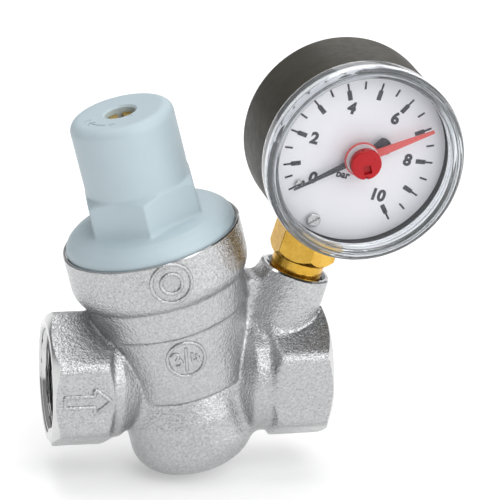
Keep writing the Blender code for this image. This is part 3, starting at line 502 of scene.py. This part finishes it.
def forged_body():
    rough = turned(positive(BONNET_OUTLINE), BONNET, FORGED, 48)
    web_place = Matrix.Rotation(radians(90), 4, "X")
    hexes = [prism(HEX_OUTLINE, low, high, FLOW, FORGED)
             for low, high in ((-END - 3, -20.5), (20.5, END + 3))]
    combined(
        rough, "UNION",
        turned_at(positive(BULGE_OUTLINE), BULGE_SHIFT, BONNET, FORGED, 48),
        turned(positive(NECK_OUTLINE), FLOW, FORGED, 48), *hexes,
        prism(circle(BOSS_RADIUS, 36), 4, BOSS_TOP + 2, BOSS, FORGED),
        prism(WEB_OUTLINE, -WEB_HALF, WEB_HALF, web_place, FORGED),
    )
    body = formed(rough, body_field, voxel=0.5, ripple=((7.0, 0.10), (1.5, 0.05)))
    cavity = [
        (0.0, -18.5), (7.0, -18.5), (11.0, -14.5), (11.0, -4.0), (10.6, -4.0), (10.6, 1.5),
        (13.0, 1.5), (13.0, 16.0), (15.5, 18.0), (15.5, 25.0), (19.4, 25.0), (19.4, 38.2),
        (21.8, 38.2), (21.8, RIM_TOP - 0.1), (21.9, RIM_TOP), (22.25, RIM_TOP),
        (22.7, RIM_TOP - 0.45), (26.0, RIM_TOP - 0.45), (26.0, 46.0), (0.0, 46.0),
    ]
    gauge_port = [
        (0.0, 9.0), (1.5, 9.0), (1.5, 18.6), (5.8, 18.6), (5.8, 25.9), (7.1, 25.9),
        (7.1, BOSS_TOP - 0.7), (7.8, BOSS_TOP), (8.45, BOSS_TOP), (8.95, BOSS_TOP - 0.5),
        (10.0, BOSS_TOP - 0.5), (10.0, 34.0), (0.0, 34.0),
    ]
    cutter = combined(
        turned(cavity, BONNET, MACHINED), "UNION", end_cutter(-1), end_cutter(1),
        passage((-25.0, -4.3), (-9.0, 7.2), 6.5, 8.5), passage((6.0, -9.8), (25.5, 4.4), 6.0, 8.0),
        turned(gauge_port, BOSS, MACHINED, 64),
    )
    piece("forged_body", combined(body, "DIFFERENCE", cutter),
          replaces=["valve_body"], sharp=38)


def pipe_thread(name, side):
    """The G 3/4 thread of a socket: one helical groove in a sleeve."""
    pitch, crest, root, outer = 1.814, 12.06, 13.22, 13.5
    flat_share, flank_share, lead_in = 0.14, 0.72, 1.1
    deep, mouth = END - 15.6, END - 0.35
    rows, columns = 112, 96
    bm = bmesh.new()
    grid = []
    for i in range(rows + 1):
        along = deep + (mouth - deep) * i / rows
        ring = []
        for j in range(columns):
            phase = (along / pitch + j / columns) % 1.0
            height = min(max((abs(2 * phase - 1) - flat_share) / flank_share, 0.0), 1.0)
            radius = max(root - (root - crest) * height, root - lead_in * (mouth - along))
            ring.append(bm.verts.new((*polar(radius, 360 * j / columns), side * along)))
        grid.append(ring)
    for along in (mouth, deep):
        grid.append([bm.verts.new((*polar(outer, 360 * j / columns), side * along))
                     for j in range(columns)])
    for lower, upper in zip(grid, grid[1:] + grid[:1]):
        for j in range(columns):
            k = (j + 1) % columns
            bm.faces.new((lower[j], lower[k], upper[k], upper[j]))
    piece(name, solid(bm, FLOW, MACHINED), sharp=50)


# Raised marks


def ridge(paths, radius, material, closed=True):
    """Raised round lines along paths of (x, y, z) points."""
    curve = bpy.data.curves.new("work", "CURVE")
    curve.dimensions = "3D"
    curve.bevel_depth, curve.bevel_resolution, curve.use_fill_caps = radius, 3, True
    for path in paths:
        spline = curve.splines.new("POLY")
        spline.points.add(len(path) - 1)
        for point, place in zip(spline.points, path):
            point.co = (*place, 1.0)
        spline.use_cyclic_u = closed
    mesh = curve_mesh(curve)
    mesh.materials.clear()
    mesh.materials.append(material)
    return placed("work", mesh)


def on_bonnet(points, angle, height, radius_at, proud=0.0):
    """Lays flat (right, up) points on the bonnet round the place at this angle and height."""
    laid = []
    for right, up in points:
        level = height + up
        radius = radius_at(level) + proud
        turn = angle + right / radius * 180 / pi
        laid.append(BONNET @ Vector((*polar(radius, turn), level)))
    return laid


def cone_radius(level):
    """Radius of the bonnet's lowest band."""
    return 16.3 + (18.9 - 16.3) * (level + 0.5) / 18.2


def cup_radius(_level):
    """Radius of the bonnet's top band, the same at every level."""
    return CUP_RADIUS


def text_outline(word, size, bold):
    """The faces of a word in the built-in face, centred, in the plane of its own XY."""
    curve = bpy.data.curves.new("work", "FONT")
    curve.body, curve.size, curve.offset = word, size, bold
    curve.align_x, curve.align_y = "CENTER", "CENTER"
    curve.resolution_u = 6
    bm = bmesh.new()
    bm.from_mesh(curve_mesh(curve))
    bmesh.ops.dissolve_limit(bm, angle_limit=0.01, verts=bm.verts, edges=bm.edges)
    return bm


def raised_text(bm, shift, thickness, low):
    """A word's faces made a thin solid on the dial."""
    lift_copy(bm, list(bm.faces), thickness)
    bmesh.ops.translate(bm, verts=bm.verts, vec=(*shift, low))
    return solid(bm, GAUGE, INK)


def raised_marks():
    flat, arrow_level = -HEX_FLATS / 2, 0.2
    arrow = [(-32.6, 1.45), (-25.2, 1.45), (-25.2, 3.4), (-21.0, 0.0), (-25.2, -3.4),
             (-25.2, -1.45), (-32.6, -1.45)]
    arrow = [(x, flat, z + arrow_level) for x, z in filleted([(*p, 0.3) for p in arrow], 2)]
    piece("flow_arrow", ridge([arrow], 0.55, FORGED), sharp=60)

    angle, height = -90.6, 11.6
    size_ring = on_bonnet(circle(4.75, 48), angle, height, cone_radius)
    # The strokes of 3/4: the three, the bar, and the four in two
    strokes = [
        [(-3.1, 2.3), (-2.3, 2.8), (-1.4, 2.3), (-1.5, 1.4), (-2.3, 1.0), (-1.4, 0.6),
         (-1.2, -0.3), (-2.0, -1.0), (-3.1, -0.7)],
        [(-1.1, -3.1), (1.1, 3.1)],
        [(2.0, 1.1), (1.1, -1.2), (3.3, -1.2)],
        [(2.7, 0.2), (2.7, -2.6)],
    ]
    strokes = [on_bonnet(moved(stroke, turn=12), angle, height, cone_radius)
               for stroke in strokes]
    piece("size_badge_ring", ridge([size_ring], 0.48, FORGED), sharp=60)
    piece("size_badge_mark", ridge(strokes, 0.42, FORGED, closed=False), sharp=60)

    rings = [on_bonnet(circle(radius, 56), -88.5, 34.0, cup_radius) for radius in (5.0, 2.6)]
    piece("blank_badge", ridge(rings, 0.5, FORGED), sharp=60)


# Spring cover and its screw

HEX_TURN = -4.0
COVER_OUTLINE = filleted([
    (PAST_AXIS, 30.6), (19.1, 30.6), (19.1, 38.5), (21.5, 38.5), (21.5, 39.6, 0.2),
    (21.25, 40.5), (20.6, 41.5), (19.4, 42.5), (17.6, 43.4), (15.0, 44.1), (12.0, 44.5),
    (PAST_AXIS, 44.8),
])
TOWER_OUTLINE = filleted([
    (PAST_AXIS, 40), (13.05, 40), (13.05, TOWER_TOP, 2.6), (PAST_AXIS, TOWER_TOP),
], 12)
CORNER_OUTLINE = [(PAST_AXIS, 38), (17, 38), (17, 51.2), (12.0, 54.2), (PAST_AXIS, 54.2)]
COVER_HEX = hexagon(26.6, 0.5, 90 + HEX_TURN)


def cover_field(points):
    local = inside_frame(points, BONNET)
    across = np.hypot(local[:, 0], local[:, 1])
    wrench = overlap(outline_distance(local[:, 0], local[:, 1], COVER_HEX),
                     outline_distance(across, local[:, 2], CORNER_OUTLINE), 0.5)
    total = blend(outline_distance(across, local[:, 2], COVER_OUTLINE), wrench, 1.0)
    return blend(total, outline_distance(across, local[:, 2], TOWER_OUTLINE), 0.35)


def spring_cover():
    rough = combined(
        turned(positive(COVER_OUTLINE), BONNET, COVER, 48), "UNION",
        turned(positive(TOWER_OUTLINE), BONNET, COVER, 48),
        prism(COVER_HEX, 40, 53.0, BONNET, COVER),
    )
    cover = formed(rough, cover_field, voxel=0.42)
    skirt = [(0.0, 29.6), (15.0, 29.6), (15.0, 38.5), (12.5, 41.0), (0.0, 41.0)]
    inside = combined(
        turned(skirt, BONNET, COVER), "UNION",
        prism(hexagon(20.6, 0.3, 90 + HEX_TURN), 40.0, 67.5, BONNET, COVER),
        turned([(0.0, 66.5), (3.9, 66.5), (3.9, TOWER_TOP - 0.5), (4.4, TOWER_TOP + 0.02),
                (4.4, 74.0), (0.0, 74.0)], BONNET, COVER, 64),
    )
    piece("moulded_cover", combined(cover, "DIFFERENCE", inside),
          replaces=["spring_cover"], sharp=40)
    sweep = arc((0.0, 0.0), 8.2, 196, 236, 12)
    tip = sweep[0]
    marks = [sweep, [polar(7.2, 204), tip, polar(9.2, 204)], [polar(7.3, 184), polar(9.1, 184)],
             [polar(4.6, 284), polar(5.4, 300)], [polar(7.3, 248), polar(9.1, 248)],
             [polar(8.2, 242), polar(8.2, 254)]]
    marks = [[BONNET @ Vector((*p, TOWER_TOP)) for p in mark] for mark in marks]
    piece("crown_marks", ridge(marks, 0.16, MARK, closed=False), sharp=60)


def adjusting_screw():
    top = TOWER_TOP - 1.5
    profile = filleted([
        (0.0, top), (3.6, top, 0.35), (3.6, 67.2), (6.4, 67.2, 0.2), (6.4, 64.8), (3.4, 64.8),
        (3.4, 44.5), (2.8, 43.9), (0.0, 43.9),
    ])
    slot = prism(rectangle(-0.75, 0.75, -5.0, 5.0), top - 1.6, top + 1.0, BONNET, BRASS)
    screw = combined(turned(profile, BONNET, BRASS, 64), "DIFFERENCE", slot)
    piece("slotted_screw", screw, "adjuster", ["adjusting_screw"])


# Gauge

DIAL_SCREW = (-6.1, -18.4)
DIAL_RIVET = (-12.8, -10.2)
CASE_SCREW_Y = -18.0
SET_ANGLE = 35.0
ZERO_ANGLE = 220.5


def gauge_socket():
    """The brass stem with its wrench hexagon, and the block inside the case."""
    stem = filleted([
        (1.4, 19.6), (5.0, 19.6), (5.5, 20.2), (5.5, 25.3), (4.8, 25.6), (4.8, 27.4),
        (6.6, 27.4, 0.2), (6.6, 31.9, 0.3), (6.3, 32.2), (3.9, 33.0), (3.9, 46.0), (1.4, 46.0),
    ])
    corners = filleted([
        (0.0, 31.2), (6.9, 31.2), (8.75, 33.3, 1.0), (8.75, 39.4, 0.6), (8.0, 40.0), (0.0, 40.0),
    ])
    wrench = combined(prism(hexagon(15.0, 0.25, 94.6), 31.5, 39.8, BOSS, BRASS), "INTERSECT",
                      turned(corners, BOSS, BRASS, 96))
    holes = [prism(circle(1.4, 24), 19.0, 50.0, BOSS, BRASS),
             prism(circle(0.9, 16, DIAL_SCREW), 10.5, 16.0, GAUGE, BRASS)]
    for x in SIDES.values():
        holes.append(prism(circle(0.9, 16, (x, -13.5)), -1.5, 4.0, GAUGE, BRASS))
        holes.append(prism(circle(1.3, 16, (x, CASE_SCREW_Y)), -4.9, -0.5, GAUGE, BRASS))
    socket = combined(
        turned(stem, BOSS, BRASS, 64), "UNION", wrench,
        prism(rectangle(-6.0, 6.0, -20.9, -11.0), -3.9, 3.0, GAUGE, BRASS, 0.2),
        prism(circle(1.9, 24, DIAL_SCREW), 0.5, 14.6, GAUGE, BRASS),
    )
    piece("brass_socket", combined(socket, "DIFFERENCE", *holes),
          replaces=["gauge_socket"])


def gauge_case():
    profile = filleted([
        (0.0, -6.0), (24.4, -6.0, 3.5), (24.4, 15.7, 0.25), (23.3, 15.7), (23.3, 17.3, 0.2),
        (22.4, 17.3, 0.2), (22.4, -4.6, 0.9), (0.0, -4.6),
    ], 8)
    stem_place = GAUGE @ Matrix.Translation((0, -25.4, 0)) @ Matrix.Rotation(radians(-90), 4, "X")
    holes = [prism(circle(4.3, 40), 0.0, 4.5, stem_place, ENAMEL_AND_SHEEN)]
    holes += [prism(circle(1.3, 24, (x, CASE_SCREW_Y)), -7, -3, GAUGE, ENAMEL_AND_SHEEN)
              for x in SIDES.values()]
    # The case takes the black enamel with its painted warm sheen.
    case = combined(turned(profile, GAUGE, ENAMEL_AND_SHEEN, 160), "DIFFERENCE", *holes)
    # The bore's faces above the dial get this lighter grey of painted light instead of the black
    # enamel.
    case.data.materials.append(BORE_PAINTED_LIGHT)
    for face in case.data.polygons:
        centre = GAUGE.inverted() @ face.center
        if centre.z > 15.0 and hypot(centre.x, centre.y) < 23.0:
            face.material_index = len(case.data.materials) - 1
    piece("enamelled_case", case, replaces=["gauge_case"])
    head = filleted([
        (0.0, -7.9), (2.5, -7.9, 0.9), (2.5, -6.3), (1.0, -6.3), (1.0, -1.0), (0.0, -1.0),
    ])
    for side, x in SIDES.items():
        centre = (x, CASE_SCREW_Y)
        slot = prism(moved(rectangle(-3, 3, -0.3, 0.3), centre, 25), -9, -7.2, GAUGE, STEEL)
        screw = combined(turned_at(head, centre, GAUGE, STEEL), "DIFFERENCE", slot)
        piece(f"pan_screw_{side}", screw, replaces=[f"case_screw_{side}"])


def gauge_cap():
    """The clear cap: a thick rim round a thin window, both one moulding in the real gauge."""
    rim = filleted([
        (21.75, 18.6), (23.6, 18.6), (23.6, 16.0, 0.15), (24.8, 16.0, 0.3), (25.0, 20.3, 0.4),
        (25.0, 22.4, 1.3), (23.5, 22.4, 0.5), (23.3, 22.0, 0.15), (23.0, 22.25, 0.4),
        (22.1, 21.9, 0.4), (21.95, 20.9, 0.15), (21.75, 20.6, 0.1),
    ])
    piece("cap_rim", turned(rim, GAUGE, RIM, 160), replaces=["gauge_lens"])
    window = filleted([(1.9, 18.75), (21.7, 18.75), (21.7, 20.0), (1.9, 20.0, 0.2)])
    piece("cap_window", turned(window, GAUGE, WINDOW, 128))


def tick(angle, inner, outer, width):
    return moved(rectangle(inner, outer, -width / 2, width / 2), turn=angle)


def dial_angle(bar):
    """The angle of a pressure on the dial, whose first unit is shorter than the others."""
    return ZERO_ANGLE - 20.5 * bar if bar < 1 else 200.0 - 27.5 * (bar - 1)


def gauge_dial():
    face = filleted([(1.8, 14.9), (22.0, 14.9), (22.0, DIAL_FRONT, 0.1), (1.8, DIAL_FRONT, 0.1)])
    holes = [prism(circle(radius, 24, place), 14.0, 17.0, GAUGE, DIAL)
             for place, radius in ((DIAL_SCREW, 1.2), (DIAL_RIVET, 0.75))]
    piece("dial_face", combined(turned(face, GAUGE, DIAL, 128), "DIFFERENCE", *holes),
          replaces=["gauge_dial"])
    low, high = DIAL_FRONT - 0.02, DIAL_FRONT + 0.05
    marks = []
    for half in range(21):
        angle = dial_angle(half / 2)
        if half % 2:
            outlines = [tick(angle, TICK_RADIUS - 2.0, TICK_RADIUS, 0.5)]
        else:
            outlines = [tick(angle, TICK_RADIUS - 2.5, TICK_RADIUS, 0.5),
                        tick(angle, TICK_RADIUS - 4.4, TICK_RADIUS - 1.9, 1.15)]
        marks += [prism(outline, low, high, GAUGE, INK) for outline in outlines]
    piece("dial_ticks", joined(*marks))
    numbers = []
    for bar in range(0, 11, 2):
        place = polar(12.6 if bar < 10 else 11.9, dial_angle(bar))
        numbers.append(raised_text(text_outline(str(bar), 4.0, 0.2), place, high - low, low))
    unit = text_outline("bar", 2.6, 0.1)
    numbers.append(raised_text(unit, (-2.4, -5.6), high - low, low))
    piece("dial_numbers", joined(*numbers))


def dial_fixings():
    head = 15.7
    profile = filleted([
        (0.0, 11.0), (0.6, 11.0), (0.6, head), (1.75, head), (1.75, head + 0.8, 0.3),
        (0.0, head + 0.8),
    ])
    slot = prism(moved(rectangle(-2.5, 2.5, -0.22, 0.22), DIAL_SCREW, 45), head + 0.3, head + 2.0,
                 GAUGE, STEEL)
    piece("slotted_dial_screw",
          combined(turned_at(profile, DIAL_SCREW, GAUGE, STEEL, 48), "DIFFERENCE", slot),
          replaces=["dial_screw"])
    rivet = filleted([
        (0.0, 13.9), (0.45, 13.9), (0.45, head), (0.95, head), (0.95, head + 0.5, 0.3),
        (0.0, head + 0.5),
    ])
    piece("dial_pin", turned_at(rivet, DIAL_RIVET, GAUGE, STEEL, 32),
          replaces=["dial_rivet"])


def hands():
    outline = moved([
        (18.15, -0.18), (18.15, 0.18), (2.6, 0.85), *arc((0.0, 0.0), 2.6, 25, 155, 12),
        (-4.2, 1.5), *arc((-5.7, 0.0), 2.5, 110, 250, 12), (-4.2, -1.5),
        *arc((0.0, 0.0), 2.6, 205, 335, 12), (2.6, -0.85),
    ], turn=ZERO_ANGLE)
    arbor = turned([(0.0, 2.3), (0.6, 2.3), (0.6, 17.35), (0.0, 17.35)], GAUGE, BLACK, 24)
    hand = prism(outline, 16.6, 17.05, GAUGE, BLACK, 0.06)
    piece("black_pointer", combined(hand, "UNION", arbor), "pointer_hand",
          ["pointer"])

    blade = moved([(3.0, -1.15), (TICK_RADIUS, -0.4), (TICK_RADIUS, 0.4), (3.0, 1.15)],
                  turn=SET_ANGLE)
    # The hand and its disc take the lighter red of painted reflection.
    hand = prism(blade, 17.7, 18.15, GAUGE, RED_AND_PAINTED_GLARE, 0.06)
    disc = turned(filleted([(0.0, 17.7), (4.4, 17.7, 0.1), (4.4, 18.25, 0.1), (1.5, 18.25),
                            (1.5, 20.1), (0.0, 20.1)]), GAUGE, RED_AND_PAINTED_GLARE, 64)
    piece("red_set_hand", combined(disc, "UNION", hand), "set_pointer", ["set_hand"])
    collar = turned(filleted([(1.6, 18.28), (4.05, 18.28), (4.05, 18.55, 0.1), (1.6, 18.55)]),
                    GAUGE, HUB, 64)
    piece("hub_ring", collar, "set_pointer")
    knob = turned(filleted([(0.0, 20.3), (3.85, 20.3, 0.15), (3.85, 22.2, 0.35), (0.0, 22.2)]),
                  GAUGE, RED, 96)
    cuts = [prism(moved(rectangle(0.2, 2.4, -1.0, 1.0), turn=-62), 21.3, 23.0, GAUGE, RED),
            prism(moved(rectangle(3.0, 4.5, -0.45, 0.45), turn=-72), 21.2, 23.0, GAUGE, RED)]
    piece("red_set_knob", combined(knob, "DIFFERENCE", *cuts), "set_pointer",
          ["set_knob"])


# Room


def studio():
    """The floor, four area lights that face the origin, and a grey world lighter at the top.

    Levels, places and sizes here are in metres, and powers in watts."""
    floor_level, floor_size = -0.0262, 4.0
    bm = bmesh.new()
    bmesh.ops.create_grid(bm, x_segments=24, y_segments=24, size=floor_size)
    for vert in bm.verts:
        vert.co.z = floor_level
    floor = solid(bm, ROOM, FLOOR)
    floor.name = "studio_floor"
    lights = (
        ("key", (0.30, -1.00, 0.80), (0.70, 0.95), 6.0),
        ("side", (1.00, -0.62, 0.45), (0.80, 0.80), 5.0),
        ("top", (0.05, 0.15, 1.20), (1.00, 1.00), 7.5),
        ("rear", (0.30, 0.95, 0.50), (0.60, 0.60), 1.0),
    )
    for name, place, size, power in lights:
        light = bpy.data.lights.new(name, "AREA")
        light.shape, light.energy = "RECTANGLE", power
        light.size, light.size_y = size
        holder = placed(name, light)
        holder.location = place
        holder.rotation_euler = (-Vector(place)).to_track_quat("-Z", "Y").to_euler()
    world = bpy.data.worlds.new("soft_room")
    world.use_nodes = True
    tree = world.node_tree
    place = add_node(tree, "ShaderNodeTexCoord").outputs["Generated"]
    split = add_node(tree, "ShaderNodeSeparateXYZ")
    tree.links.new(place, split.inputs[0])
    ramp = add_node(tree, "ShaderNodeValToRGB")
    low, high = ramp.color_ramp.elements
    low.position, low.color = 0.0, (0.26, 0.26, 0.265, 1)
    high.position, high.color = 0.9, (0.55, 0.55, 0.56, 1)
    tree.links.new(split.outputs["Z"], ramp.inputs["Fac"])
    tree.links.new(ramp.outputs["Color"], tree.nodes["Background"].inputs["Color"])
    tree.nodes["Background"].inputs["Strength"].default_value = 1.0
    bpy.context.scene.world = world
    bpy.context.scene.view_settings.view_transform = "Standard"


def camera():
    """The photo's view, from the front left and above. The lens looks past the origin by the two
    shifts, in metres."""
    azimuth, elevation, roll = radians(10.6), radians(20.7), radians(1.3)
    distance, shift_right, shift_up = 0.9, 0.016318, 0.030996
    sensor_width, focal_length, nearest = 36.0, 256.932, 0.01
    away = Vector((-sin(azimuth) * cos(elevation), -cos(azimuth) * cos(elevation), sin(elevation)))
    level = Vector((cos(azimuth), -sin(azimuth), 0.0))
    steep = level.cross(-away)
    right = level * cos(roll) + steep * sin(roll)
    up = steep * cos(roll) - level * sin(roll)
    place = away * distance + right * shift_right + up * shift_up
    lens = bpy.data.cameras.new("view")
    lens.sensor_width, lens.lens, lens.clip_start = sensor_width, focal_length, nearest
    holder = placed("view", lens)
    facing = Matrix((right, up, away)).transposed().to_4x4()
    holder.matrix_world = Matrix.Translation(place) @ facing
    bpy.context.scene.camera = holder


def repaint_frame():
    """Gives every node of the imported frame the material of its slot."""
    slots = {entry["node"]: entry["material_slot"] for entry in frame["record"]["subparts"]}
    for name, node in frame["nodes"].items():
        node.data.materials.clear()
        node.data.materials.append(BY_SLOT[slots[name]])


repaint_frame()
forged_body()
pipe_thread("inlet_thread", -1)
pipe_thread("outlet_thread", 1)
raised_marks()
spring_cover()
adjusting_screw()
gauge_socket()
gauge_case()
gauge_cap()
gauge_dial()
dial_fixings()
hands()
studio()
camera()
